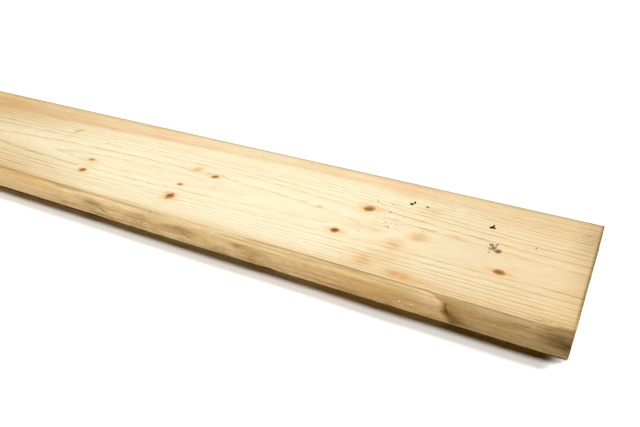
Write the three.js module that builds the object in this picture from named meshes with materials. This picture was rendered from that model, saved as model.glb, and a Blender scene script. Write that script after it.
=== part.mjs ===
// A sawn softwood board with one waney edge: a single piece of stock, in millimetres.
//
// +X runs along the board, +Y across it towards the square sawn edge, and +Z up from the face it lies on.
// The origin is the centre of that face. The board was sawn a little wider than the log allowed, so most
// of its -Y edge is the log's own flank. Near the +X end the flank ends in a rounded tongue of overgrowth
// with a hollow beyond it, and from there to the end the edge is sawn square. Its top arris is rounded.

import * as THREE from "three";
import { mergeVertices } from "three/addons/utils/BufferGeometryUtils.js";

// Sawn size.
const LENGTH = 1800;
const WIDTH = 150;
const THICKNESS = 22;
const ARRIS = 0.7; // the flat that handling leaves on a sawn arris

// The log: its flank is a round of LOG_RADIUS about an axis LOG_AXIS_DROP under the board's top face.
const LOG_RADIUS = 90;
const LOG_AXIS_DROP = 23;
const WANE_DEPTH = 0.5; // how far the flank lies inside the saw line, at the top face
const WANE_SWELL = 0.3; // how much that depth comes and goes along the board
const WANE_SWELL_LENGTH = 410;
const WANE_RUN_OUT = 1310; // distance from the +X end at which the flank has reached the saw line again
const WANE_RUN_OUT_LENGTH = 260;

// The tongue: the flank's rounded end. Distances along the board are from the +X end.
const NOSE_FROM_END = 86;
const NOSE_ROUND = 8; // width of the rounding from its face into the hollow
const NOSE_LEAN = 14; // how far its outline has fallen back where it meets the top face
const NOSE_LEAN_FROM = 12; // height at which it starts to fall back
const NOSE_TOE = 5.5; // how far its foot reaches out along the bottom
const NOSE_TOE_TOP = 0.4; // where the foot starts, as a share of the face's height
const TONGUE_SWELL = 1.5; // how far the flank swells back out towards the saw line at the tongue
const TONGUE_SWELL_LENGTH = 46;

// The hollow beyond the tongue.
const HOLLOW_DEPTH = 4.8;
const HOLLOW_LENGTH = 18;
const HOLLOW_FLOOR = 1.6; // height of the sawn strip left under it
const HOLLOW_HEIGHT = 8; // height of its deepest place
const HOLLOW_TOP_SHARE = 0.1; // what is left of its depth at the top face

// The rounding of this edge's top arris: how far it cuts into the top face.
const GROWN_ARRIS = 0.9; // along the flank
const SAWN_ARRIS = 0.5; // beyond the hollow
const ARRIS_HEIGHT = 8; // how far down the edge it starts
const WORN_CORNER = 3; // what wear adds to it at the +X end
const WORN_CORNER_LENGTH = 30;

// Branch collars under the flank: where along it, how high, how long, how tall and how proud.
const COLLARS = [
  { fromEnd: 404, height: 10, length: 42, tall: 9, proud: 1.1 },
  { fromEnd: 351, height: 11, length: 20, tall: 7, proud: 0.5 },
  { fromEnd: 303, height: 11, length: 30, tall: 8, proud: 0.9 },
  { fromEnd: 246, height: 6, length: 20, tall: 7, proud: 0.6 },
  { fromEnd: 872, height: 9, length: 36, tall: 9, proud: 0.9 },
  { fromEnd: 1096, height: 12, length: 28, tall: 8, proud: 0.7 },
];

// Facets: station spacing along the board, and rows up the waney edge.
const FINEST_STATION = 1.2;
const WIDEST_STATION = 15;
const STATION_GROWTH = 0.16; // spacing gained for each millimetre away from the nose
const CORNER_REACH = 20; // distance to the nose whose spacing the worn corner has too
const EDGE_ROWS = 19;
const ROW_CROWDING = 1.35; // rows crowd towards the top arris, where the edge is roundest
const NOSE_GRIP = 44; // how far from the nose the stations still follow its outline
const SLOPE_STEP = 0.5; // height over which the outline's slope is taken

const clamp = THREE.MathUtils.clamp;
const smoothstep = THREE.MathUtils.smoothstep;

const endX = LENGTH / 2;
const sawLineY = -WIDTH / 2;
const noseX = endX - NOSE_FROM_END;

// Place of the nose's outline along the board, measured from noseX, at a height on the edge.
function noseOutline(z) {
  const share = clamp(z / THICKNESS, 0, 1);
  const up = clamp((z - NOSE_LEAN_FROM) / (THICKNESS - NOSE_LEAN_FROM), 0, 1);
  const lean = -NOSE_LEAN * (1 - Math.sqrt(1 - up ** 2));
  const toe = NOSE_TOE * (1 - smoothstep(share, 0, NOSE_TOE_TOP));
  return lean + toe;
}

// Distance from the nose's outline to a place on the edge, square to it, and negative on the tongue.
function beyondNose(x, z) {
  const slope = noseOutline(z + SLOPE_STEP / 2) - noseOutline(z - SLOPE_STEP / 2);
  return (x - noseX - noseOutline(z)) / Math.hypot(1, slope / SLOPE_STEP);
}

// How far the log's flank lies inside the saw line. It is negative where the saw took wood off.
function flankDepth(x, z) {
  const fromEnd = endX - x;
  const along = (2 * Math.PI * fromEnd) / WANE_SWELL_LENGTH;
  const swell = WANE_SWELL * Math.sin(along) + (WANE_SWELL / 2) * Math.sin(2.3 * along + 1);
  const tongue = TONGUE_SWELL * Math.exp(-(((fromEnd - NOSE_FROM_END) / TONGUE_SWELL_LENGTH) ** 2));
  const runOut = smoothstep(fromEnd, WANE_RUN_OUT - WANE_RUN_OUT_LENGTH, WANE_RUN_OUT);
  const topDepth = (WANE_DEPTH + swell) * (1 - runOut) - tongue - runOut;
  const axisZ = THICKNESS - LOG_AXIS_DROP;
  const atTop = Math.sqrt(LOG_RADIUS ** 2 - LOG_AXIS_DROP ** 2);
  const atHeight = Math.sqrt(LOG_RADIUS ** 2 - (z - axisZ) ** 2);
  let depth = topDepth + atTop - atHeight;
  for (const collar of COLLARS) {
    const alongCollar = (fromEnd - collar.fromEnd) / (collar.length / 2);
    const upCollar = (z - collar.height) / (collar.tall / 2);
    depth -= collar.proud * Math.exp(-(alongCollar ** 2) - upCollar ** 2);
  }
  return depth;
}

// How deep the hollow is, as a share of HOLLOW_DEPTH, at a distance beyond the nose's outline.
// On the tongue's side it is a rounded shoulder, and beyond it a slope that dies out.
function hollowAlong(beyond) {
  if (beyond <= -NOSE_ROUND) return 0;
  if (beyond < 0) return 1 - Math.sqrt(1 - (1 + beyond / NOSE_ROUND) ** 2);
  return 1 - smoothstep(beyond, 0, HOLLOW_LENGTH);
}

// The same share at a height: none on the sawn strip, and little left at the top face.
function hollowUp(z) {
  const aboveStrip = smoothstep(z, HOLLOW_FLOOR, HOLLOW_HEIGHT);
  const towardsTop = smoothstep(z, HOLLOW_HEIGHT, THICKNESS);
  return aboveStrip * (1 - (1 - HOLLOW_TOP_SHARE) * towardsTop);
}

// How far the rounded top arris cuts in, from the flank's rounding at a `sawn` of 0 to the sawn one's at 1.
function arrisDepth(x, z, sawn) {
  const worn = WORN_CORNER * (1 - smoothstep(endX - x, 0, WORN_CORNER_LENGTH));
  const reach = THREE.MathUtils.lerp(GROWN_ARRIS, SAWN_ARRIS, sawn) + worn;
  const up = clamp(1 - (THICKNESS - z) / ARRIS_HEIGHT, 0, 1);
  return reach * (1 - Math.sqrt(1 - up ** 2));
}

// How far the -Y edge lies inside the saw line.
function edgeDepth(x, z) {
  const beyond = beyondNose(x, z);
  const sawn = smoothstep(beyond, 0, HOLLOW_LENGTH);
  const flank = Math.max(0, flankDepth(x, z)) * (1 - sawn);
  return flank + arrisDepth(x, z, sawn) + HOLLOW_DEPTH * hollowAlong(beyond) * hollowUp(z);
}

// Places along the board where its section is set out, closest together at the nose.
function stationsAlong() {
  const stations = [noseX];
  const spacing = (x) => {
    const away = Math.min(Math.abs(x - noseX), CORNER_REACH + endX - x);
    return clamp(STATION_GROWTH * away, FINEST_STATION, WIDEST_STATION);
  };
  for (let x = noseX; x < endX - 1.5 * spacing(x); ) {
    x += spacing(x);
    stations.push(x);
  }
  for (let x = noseX; x > -endX + 1.5 * spacing(x); ) {
    x -= spacing(x);
    stations.unshift(x);
  }
  return [-endX, ...stations, endX];
}

// The sawn section, with rows of points up the -Y edge and the arrises broken.
function sawnSection() {
  const points = [];
  points.push(new THREE.Vector2(sawLineY + ARRIS, 0));
  points.push(new THREE.Vector2(-sawLineY - ARRIS, 0));
  points.push(new THREE.Vector2(-sawLineY, ARRIS));
  points.push(new THREE.Vector2(-sawLineY, THICKNESS - ARRIS));
  points.push(new THREE.Vector2(-sawLineY - ARRIS, THICKNESS));
  for (let row = 0; row < EDGE_ROWS; row += 1) {
    const down = (row / (EDGE_ROWS - 1)) ** ROW_CROWDING;
    points.push(new THREE.Vector2(sawLineY, THREE.MathUtils.lerp(THICKNESS, ARRIS, down)));
  }
  return new THREE.Shape(points);
}

// The board: its section drawn along the stations, with the -Y edge shaped as it goes.
function boardGeometry() {
  const stations = stationsAlong();
  const geometry = new THREE.ExtrudeGeometry(sawnSection(), {
    depth: stations.length - 1,
    steps: stations.length - 1,
    bevelEnabled: false,
  });
  const place = geometry.attributes.position;
  for (let i = 0; i < place.count; i += 1) {
    const station = stations[Math.round(place.getZ(i))];
    const y = place.getX(i);
    const z = place.getY(i);
    const onEdge = y < 0;
    const grip = 1 - smoothstep(Math.abs(station - noseX), 0, NOSE_GRIP);
    const x = onEdge ? station + grip * noseOutline(z) : station;
    place.setXYZ(i, x, onEdge ? y + edgeDepth(x, z) : y, z);
  }
  geometry.deleteAttribute("normal");
  geometry.deleteAttribute("uv");
  const merged = mergeVertices(geometry);
  merged.computeVertexNormals();
  return merged;
}

const sawnWood = new THREE.MeshStandardMaterial({
  color: 0xe6d2a0,
  roughness: 0.72,
  metalness: 0,
});

const plank = new THREE.Mesh(boardGeometry(), sawnWood);
plank.name = "timber_plank";

const board = new THREE.Group();
board.name = "sawn_board";
board.add(plank);

export default board;
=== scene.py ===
"""A sawn softwood plank with one waney edge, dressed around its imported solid.

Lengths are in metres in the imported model's own frame: +X along the plank towards the end with the
tongue, +Y across it towards the square edge, and +Z up from the face that it lies on. Places on the
wood are given as a woodworker would measure them: `from_end` back from the +X end, `across` from the
saw line of the waney edge, and `height` above the floor. Tables, and the ends that `rising`, `falling`
and `peak` are given, are in millimetres.
"""

import logging
import math
from dataclasses import dataclass, field
from enum import Enum

import bmesh
import bpy
import numpy as np
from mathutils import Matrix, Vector


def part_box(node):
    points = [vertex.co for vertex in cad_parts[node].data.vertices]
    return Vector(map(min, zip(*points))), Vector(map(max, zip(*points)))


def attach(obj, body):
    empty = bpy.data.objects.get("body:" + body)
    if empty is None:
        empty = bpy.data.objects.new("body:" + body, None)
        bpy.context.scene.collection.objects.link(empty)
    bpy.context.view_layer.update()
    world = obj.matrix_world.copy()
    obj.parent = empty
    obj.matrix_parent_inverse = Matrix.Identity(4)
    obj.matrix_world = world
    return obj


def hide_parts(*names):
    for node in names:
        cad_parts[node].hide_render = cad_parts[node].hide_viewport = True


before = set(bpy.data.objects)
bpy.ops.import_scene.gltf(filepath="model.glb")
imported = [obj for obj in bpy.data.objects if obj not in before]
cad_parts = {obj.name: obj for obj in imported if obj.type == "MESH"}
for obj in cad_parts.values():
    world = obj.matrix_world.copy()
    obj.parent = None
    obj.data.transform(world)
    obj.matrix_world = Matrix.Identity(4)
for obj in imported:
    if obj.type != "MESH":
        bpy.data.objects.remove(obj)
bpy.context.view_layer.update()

MM = 0.001
NODE = "timber_plank"
BODY = "root"

Array = np.ndarray
Colour = tuple[float, float, float]
Place = tuple[float, float, float]
Socket = bpy.types.NodeSocket
Feed = Socket | float | tuple

log = logging.getLogger("plank")


def in_metres(sizes: int, *rows: tuple[float, ...]) -> list[tuple[float, ...]]:
    """Turn the sizes of a table's rows from millimetres into metres.

    Args:
        sizes: How many values at the start of each row are sizes.
        rows: The table's rows.

    Returns:
        The same rows, with those values in metres.
    """
    return [(*(size * MM for size in row[:sizes]), *row[sizes:]) for row in rows]


def in_scene(name: str, data: bpy.types.ID) -> bpy.types.Object:
    """Make an object of a mesh, a light or a camera, and put it in the scene.

    Args:
        name: The object's name.
        data: What it is made of.

    Returns:
        The object.
    """
    made = bpy.data.objects.new(name, data)
    bpy.context.collection.objects.link(made)
    return made


def settled(name: str, shape: bmesh.types.BMesh) -> bpy.types.Mesh:
    """Turn a worked shape into a mesh and let the shape go.

    Args:
        name: The mesh's name.
        shape: The shape, which is freed.

    Returns:
        The mesh.
    """
    mesh = bpy.data.meshes.new(name)
    shape.to_mesh(mesh)
    shape.free()
    return mesh


def smoothstep(value: Array, low: float, high: float) -> Array:
    """Rise smoothly from 0 at `low` to 1 at `high`.

    Args:
        value: What is measured.
        low: Where the rise starts.
        high: Where it ends.

    Returns:
        The share risen, between 0 and 1.
    """
    share = np.clip((value - low) / (high - low), 0.0, 1.0)
    return share * share * (3.0 - 2.0 * share)


def bell(offset: Array, reach: float) -> Array:
    """Fall off as a bell curve.

    Args:
        offset: Distance from the middle.
        reach: Distance at which the curve is down to about a third.

    Returns:
        1 in the middle, towards 0 away from it.
    """
    return np.exp(-((offset / reach) ** 2))


def rising(value: Array, low: float, high: float) -> Array:
    """Rise smoothly from 0 at `low` to 1 at `high`, both in millimetres."""
    return smoothstep(value, low * MM, high * MM)


def falling(value: Array, high: float, low: float) -> Array:
    """Fall smoothly from 1 at `high` to 0 at `low`, both in millimetres."""
    return 1.0 - smoothstep(value, high * MM, low * MM)


def peak(value: Array, middle: float, reach: float) -> Array:
    """Peak at `middle` as a bell curve, with its middle and its reach in millimetres."""
    return bell(value - middle * MM, reach * MM)


class Ripple:
    """A smooth, seeded unevenness of a few waves, for growth that wanders and saws that chatter."""

    WAVES = 7
    SPREAD = 0.7
    HEIGHT = 0.9

    def __init__(self, seed: int, lengths: Place) -> None:
        """Draw the waves.

        Args:
            seed: Random seed of this ripple.
            lengths: Usual wavelength along X, Y and Z.
        """
        draw = np.random.default_rng(seed)
        turns = draw.normal(0.0, 1.0, (self.WAVES, 3))
        self.wave = turns * (2.0 * np.pi / np.array(lengths)) * self.SPREAD
        self.start = draw.uniform(0.0, 2.0 * np.pi, self.WAVES)

    def at(self, x: Array | float, y: Array | float, z: Array | float) -> Array:
        """Return the unevenness at places, mostly between -1 and 1.

        Args:
            x: Places along the plank.
            y: Places across it.
            z: Places up it.

        Returns:
            The unevenness there.
        """
        total = 0.0
        for (kx, ky, kz), start in zip(self.wave, self.start):
            total = total + np.sin(kx * x + ky * y + kz * z + start)
        return total / math.sqrt(2.0 * self.WAVES) * self.HEIGHT


@dataclass(frozen=True)
class Relief:
    """An uneven surface: a ripple of some depth, lying `level` times that depth inside the plain one."""

    ripple: Ripple
    depth: float
    level: float = 1.0

    def at(self, x: Array | float, y: Array | float, z: Array | float) -> Array:
        """Return how far the surface lies inside the plain one at places."""
        return self.depth * (self.level + self.ripple.at(x, y, z))


@dataclass(frozen=True)
class Collar:
    """A branch collar that stands a little proud of the waney edge."""

    from_end: float
    height: float
    length: float
    tall: float
    proud: float


COLLARS = tuple(
    Collar(*row)
    for row in in_metres(
        5,
        (404, 10, 42, 9, 1.1), (351, 11, 20, 7, 0.5), (303, 11, 30, 8, 0.9), (246, 6, 20, 7, 0.6),
        (872, 9, 36, 9, 0.9), (1096, 12, 28, 8, 0.7),
    )
)


@dataclass(frozen=True)
class WaneyEdge:
    """The -Y edge: the log's own flank, its tongue and hollow, and the eased top arris."""

    thickness: float
    log_radius: float = 90 * MM
    log_axis_drop: float = 23 * MM
    wane_depth: float = 0.5 * MM
    wane_swell: float = 0.3 * MM
    wane_swell_length: float = 410 * MM
    wane_run_out: float = 1310 * MM
    wane_run_out_length: float = 260 * MM
    nose_from_end: float = 86 * MM
    nose_round: float = 8 * MM
    crease_round: float = 1 * MM
    nose_lean: float = 14 * MM
    nose_lean_from: float = 12 * MM
    nose_toe: float = 5.5 * MM
    nose_toe_top: float = 0.4
    tongue_swell: float = 1.5 * MM
    tongue_swell_length: float = 46 * MM
    hollow_depth: float = 4.8 * MM
    hollow_length: float = 18 * MM
    hollow_floor: float = 1.6 * MM
    hollow_height: float = 8 * MM
    hollow_top_share: float = 0.1
    grown_arris: float = 0.55 * MM
    sawn_arris: float = 0.5 * MM
    arris_height: float = 8 * MM
    worn_corner: float = 3 * MM
    worn_corner_length: float = 30 * MM
    slope_step: float = 0.5 * MM
    crease_depth: float = 0.97
    crease_run: float = 4 * MM

    def nose_outline(self, height: Array) -> Array:
        """Return how far the nose's outline lies beyond `nose_from_end`, towards +X, at heights.

        Args:
            height: Height above the floor.

        Returns:
            The distance, negative where the outline falls back.
        """
        share = np.clip(height / self.thickness, 0.0, 1.0)
        up = np.clip((height - self.nose_lean_from) / (self.thickness - self.nose_lean_from), 0.0, 1.0)
        lean = -self.nose_lean * (1.0 - np.sqrt(1.0 - up**2))
        return lean + self.nose_toe * (1.0 - smoothstep(share, 0.0, self.nose_toe_top))

    def beyond_nose(self, from_end: Array, height: Array) -> Array:
        """Measure square to the nose's outline.

        Args:
            from_end: Distance from the +X end.
            height: Height above the floor.

        Returns:
            Distance beyond the outline, negative on the tongue.
        """
        step = self.slope_step
        slope = (self.nose_outline(height + step / 2) - self.nose_outline(height - step / 2)) / step
        return (self.nose_from_end - from_end - self.nose_outline(height)) / np.hypot(1.0, slope)

    def flank(self, from_end: Array, height: Array) -> Array:
        """Return how far the log's flank lies inside the saw line, or how far outside as a negative.

        Args:
            from_end: Distance from the +X end.
            height: Height above the floor.

        Returns:
            The depth.
        """
        along = 2.0 * np.pi * from_end / self.wane_swell_length
        swell = self.wane_swell * (np.sin(along) + 0.5 * np.sin(2.3 * along + 1.0))
        tongue = self.tongue_swell * bell(from_end - self.nose_from_end, self.tongue_swell_length)
        run_out = smoothstep(from_end, self.wane_run_out - self.wane_run_out_length, self.wane_run_out)
        top_depth = (self.wane_depth + swell) * (1.0 - run_out) - tongue - run_out * MM
        axis = self.thickness - self.log_axis_drop
        depth = top_depth + math.sqrt(self.log_radius**2 - self.log_axis_drop**2)
        depth = depth - np.sqrt(self.log_radius**2 - (height - axis) ** 2)
        for collar in COLLARS:
            along = bell(from_end - collar.from_end, collar.length / 2)
            up = bell(height - collar.height, collar.tall / 2)
            depth = depth - collar.proud * (along * up)
        return depth

    def hollow_along(self, beyond: Array) -> Array:
        """Return the hollow's depth share beyond the nose's outline, with its crease rounded.

        Args:
            beyond: Distance beyond the nose's outline.

        Returns:
            The share, from 0 to 1.
        """
        over = np.clip((beyond + self.nose_round) / (self.nose_round + self.crease_round), 0.0, 1.0)
        shoulder = 1.0 - np.sqrt(1.0 - self.crease_depth * over**2)
        shoulder = shoulder + np.maximum(beyond - self.crease_round, 0.0) / self.crease_run
        return np.minimum(shoulder, 1.0 - smoothstep(beyond, 0.0, self.hollow_length))

    def hollow_up(self, height: Array) -> Array:
        """Return the hollow's depth share at heights: none on the sawn strip, little at the top.

        Args:
            height: Height above the floor.

        Returns:
            The share, from 0 to 1.
        """
        above_strip = smoothstep(height, self.hollow_floor, self.hollow_height)
        towards_top = smoothstep(height, self.hollow_height, self.thickness)
        return above_strip * (1.0 - (1.0 - self.hollow_top_share) * towards_top)

    def eased(self, from_end: Array, height: Array, sawn: Array) -> Array:
        """Return how far the rounded top arris cuts in.

        Args:
            from_end: Distance from the +X end, where the corner is worn.
            height: Height above the floor.
            sawn: How far the edge has turned from the flank into a sawn one, from 0 to 1.

        Returns:
            The cut's depth.
        """
        worn = self.worn_corner * (1.0 - smoothstep(from_end, 0.0, self.worn_corner_length))
        reach = self.grown_arris + (self.sawn_arris - self.grown_arris) * sawn + worn
        up = np.clip(1.0 - (self.thickness - height) / self.arris_height, 0.0, 1.0)
        return reach * (1.0 - np.sqrt(1.0 - up**2))

    def depth(self, from_end: Array, height: Array) -> Array:
        """Return how far the edge's surface lies inside the saw line.

        Args:
            from_end: Distance from the +X end.
            height: Height above the floor.

        Returns:
            The depth.
        """
        beyond = self.beyond_nose(from_end, height)
        sawn = smoothstep(beyond, 0.0, self.hollow_length)
        flank = np.maximum(0.0, self.flank(from_end, height)) * (1.0 - sawn)
        hollow = self.hollow_depth * self.hollow_along(beyond) * self.hollow_up(height)
        return flank + self.eased(from_end, height, sawn) + hollow


@dataclass(frozen=True)
class GrowthRings:
    """The tree's rings about its pith, which runs along the plank a little under its lying face."""

    thickness: float
    pith_across: float = 58.5 * MM
    pith_wander: float = 2.6 * MM
    pith_wander_length: float = 520 * MM
    pith_wander_start: float = 140 * MM
    depth_square: float = 969 * MM**2
    depth_square_swing: float = 335 * MM**2
    depth_swing_length: float = 840 * MM
    shallowest: float = 400 * MM
    wide_side: float = 0.2
    wide_side_reach: float = 50 * MM
    widths_mm: tuple[float, ...] = (
        5.0, 4.0, 4.4, 4.6, 4.9, 4.0, 5.1, 7.1, 4.0, 4.3, 2.8, 3.7, 3.8, 3.2, 2.5, 2.8, 3.2, 2.2, 2.6,
        3.3, 2.5, 2.9, 2.4, 2.7, 3.1, 2.3, 2.6, 2.2, 2.8, 2.4,
    )

    def pith(self, from_end: Array) -> tuple[Array, Array]:
        """Return the pith's distance across the plank and its height, at distances from the +X end.

        Args:
            from_end: Distance from the +X end.

        Returns:
            The pith's distance across from the saw line, and its height.
        """
        wander = np.sin(2.0 * np.pi * (from_end - self.pith_wander_start) / self.pith_wander_length)
        swing = np.cos(2.0 * np.pi * (from_end - self.shallowest) / self.depth_swing_length)
        depth = np.sqrt(self.depth_square - self.depth_square_swing * swing)
        return self.pith_across + self.pith_wander * wander, self.thickness - depth

    def radius(self, from_end: Array, across: Array, height: Array) -> Array:
        """Return the distance from the pith, with the faster-grown side drawn in to match the other.

        Args:
            from_end: Distance from the +X end.
            across: Distance across from the waney edge's saw line.
            height: Height above the floor.

        Returns:
            The distance.
        """
        centre, pith_height = self.pith(from_end)
        out = across - centre
        stretch = 1.0 + self.wide_side * smoothstep(out, 0.0, self.wide_side_reach)
        return np.hypot(out / stretch, height - pith_height)

    def width_at(self, radius: Array) -> Array:
        """Return the width in millimetres of the ring that lies at distances from the pith.

        Args:
            radius: Distance from the pith.

        Returns:
            The width.
        """
        ends = np.cumsum(self.widths_mm) * MM
        ring = np.minimum(np.searchsorted(ends, radius), len(self.widths_mm) - 1)
        return np.array(self.widths_mm)[ring]

    def count(self, radius: Array) -> Array:
        """Return the ring count at distances from the pith: whole numbers are where a ring ends."""
        ends = np.concatenate([[0.0], np.cumsum(self.widths_mm)]) * MM
        return np.interp(radius, ends, np.arange(len(ends)))


@dataclass(frozen=True)
class Knot:
    """A branch that runs out from the pith and shows as a round knot on the top face."""

    from_end: float
    across: float
    radius: float
    tone: float
    stretch: float = 1.0


class MarkKind(Enum):
    """What a mark on the wood is."""

    RESIN_STAIN = "stain"
    BLACK_SPECK = "speck"
    BROWN_FLECK = "fleck"
    PALE_FLECK = "pale"
    PEPPERING = "pepper"
    GREY_DIRT_AND_SHADE = "dirt_and_shade"
    DULL_SPOT = "dull"


@dataclass(frozen=True)
class Mark:
    """A stain or speck: `across` is its distance across the top face, or its height on the edge."""

    from_end: float
    across: float
    length: float
    width: float
    strength: float
    slant: float = 0.0

    def on_top(self, size: Vector, reach: float = 4 * MM) -> dict[str, Place]:
        """Return where a mark of the top face lies, how it is turned, and how far it reaches.

        Args:
            size: The plank's length, width and thickness.
            reach: How far the mark reaches into the wood.

        Returns:
            The settings of the Mapping node that draws it.
        """
        return {
            "Location": (size.x / 2 - self.from_end, self.across - size.y / 2, size.z),
            "Rotation": (0.0, 0.0, -self.slant),
            "Scale": (self.length / 2, self.width / 2, reach),
        }

    def on_edge(self, size: Vector, reach: float = 10 * MM) -> dict[str, Place]:
        """Return the same for a mark of the waney edge.

        Args:
            size: The plank's length, width and thickness.
            reach: How far the mark reaches into the wood.

        Returns:
            The settings of the Mapping node that draws it.
        """
        return {
            "Location": (size.x / 2 - self.from_end, -size.y / 2, self.across),
            "Rotation": (0.0, self.slant, 0.0),
            "Scale": (self.length / 2, reach, self.width / 2),
        }

    def off(self, from_end: Array, place: Array) -> Array:
        """Return the distance of places from the mark's middle, 1 at its outline.

        Args:
            from_end: Distance from the +X end.
            place: Distance across the top face, or height on the edge.

        Returns:
            The distance.
        """
        along, over = from_end - self.from_end, place - self.across
        turned_along = along * math.cos(self.slant) + over * math.sin(self.slant)
        turned_over = over * math.cos(self.slant) - along * math.sin(self.slant)
        return np.hypot(turned_along / (self.length / 2), turned_over / (self.width / 2))


Marks = dict[MarkKind, tuple[Mark, ...]]


def marks(*rows: tuple[float, ...]) -> tuple[Mark, ...]:
    """Make the marks of one kind on one face.

    Args:
        rows: Each one's `from_end`, `across`, length and width in millimetres, its strength, and its
            slant in radians where it has one.

    Returns:
        The marks, in the same order.
    """
    return tuple(Mark(*row) for row in in_metres(4, *rows))


KNOTS = tuple(
    Knot(*row)
    for row in in_metres(
        3,
        (60, 46, 3.9, 0.9, 1.3), (190.8, 43.8, 3.7, 0.9, 1.1), (180.2, 87.7, 4.1, 0.8, 1.3),
        (219, 71.8, 2.6, 0.22), (344, 29.3, 4, 0.78), (330.5, 77.3, 3.3, 0.8), (350, 50.7, 2.7, 0.72),
        (354, 81.8, 4.6, 0.16), (450, 32.3, 3.3, 0.85), (458.7, 53, 3, 0.62, 1.3),
        (523, 102, 1.7, 0.45, 1.2), (597.5, 107.7, 2.2, 0.14), (549.7, 58.5, 2, 0.2),
        (742, 38, 4.2, 0.85), (751, 81, 3.4, 0.7), (868, 101, 5, 0.8), (884, 55, 3.2, 0.6),
        (1012, 36, 4.6, 0.9), (1027, 92, 3.8, 0.75), (1163, 66, 3, 0.5), (1179, 112, 4.4, 0.8),
        (1308, 41, 5.2, 0.85), (1330, 84, 3.6, 0.7), (1466, 30, 3.4, 0.65), (1481, 96, 4.8, 0.85),
        (1622, 49, 4, 0.8), (1641, 104, 3, 0.45), (1744, 74, 4.2, 0.75),
    )
)

TOP_MARKS: Marks = {
    MarkKind.RESIN_STAIN: marks(
        (128, 64, 17, 14, 0.85), (141, 45, 17, 18, 0.75), (154, 16, 21, 19, 0.75),
        (122, 9, 26, 13, 1.0), (104, 7, 30, 10, 0.3), (150, 42, 110, 110, 0.14),
        (167, 66, 30, 13, 0.24), (156, 59.5, 16, 4, 0.25), (128, 103, 44, 16, 0.2),
        (129, 110, 18, 11, 0.5), (101.5, 77.5, 20, 6, 0.6), (137, 26, 30, 28, 0.25),
        (135, 88, 16, 5, 0.3), (290, 58, 16, 14, 0.2), (319, 59, 12, 8, 0.35), (184, 96, 16, 12, 0.25),
        (455, 44, 24, 20, 0.22), (523, 88, 6, 26, 0.3), (668, 135, 52, 7, 0.5),
    ),
    MarkKind.BLACK_SPECK: marks(
        (80.6, 105.2, 3.6, 4.6, 1.1, 0.6), (78.6, 105, 2.6, 3.4, 1.0, -0.5),
        (79.8, 108.4, 2.4, 4.4, 1.0), (151.2, 112.2, 4.4, 4.4, 1.1),
        (149.6, 115.6, 2.2, 5.4, 1.0, -0.25), (137.5, 113, 4.6, 2.4, 0.6),
        (178, 103.4, 6, 1.8, 0.4, 0.1), (162.5, 90.8, 2.6, 2, 0.28), (155.4, 67.7, 2, 2.6, 0.5),
        (159, 73.5, 3, 1.6, 0.4), (42.5, 90.7, 1.7, 2.8, 0.3), (51, 54.8, 1.7, 2.4, 0.28),
        (174, 51, 2.6, 1.8, 0.25),
    ),
    MarkKind.BROWN_FLECK: marks(
        (67.4, 72.6, 7, 8, 1.4, 0.4), (71.6, 75.4, 9.6, 10.4, 0.85), (74, 79.4, 4.8, 6.4, 1.1, -0.5),
        (70.4, 81, 2.6, 6.6, 1.0, 0.3), (73.6, 68.6, 3.6, 3.4, 0.9), (520, 104.6, 10, 1.6, 0.62, 0.6),
        (523.6, 97.5, 2.2, 9, 0.6), (348, 22.5, 18, 1.1, 0.5, -0.22), (354, 20.5, 14, 1.1, 0.5, -0.3),
        (9, 127, 10, 1.1, 0.8, -0.12), (14, 124.6, 6, 0.8, 0.6, -0.12), (18, 5.4, 30, 0.9, 0.8),
        (24, 3.6, 18, 0.8, 0.7),
    ),
    MarkKind.PEPPERING: marks(
        (155, 74, 40, 44, 1.0, 0.5), (168, 98, 30, 20, 0.8), (128, 70, 34, 26, 0.6),
        (74, 76, 22, 22, 0.8), (318, 72, 16, 16, 0.55), (462, 28, 20, 14, 0.5),
    ),
    MarkKind.GREY_DIRT_AND_SHADE: marks(
        (2, 122, 30, 80, 0.27), (0, 55, 14, 80, 0.15),
    ),
}

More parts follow.
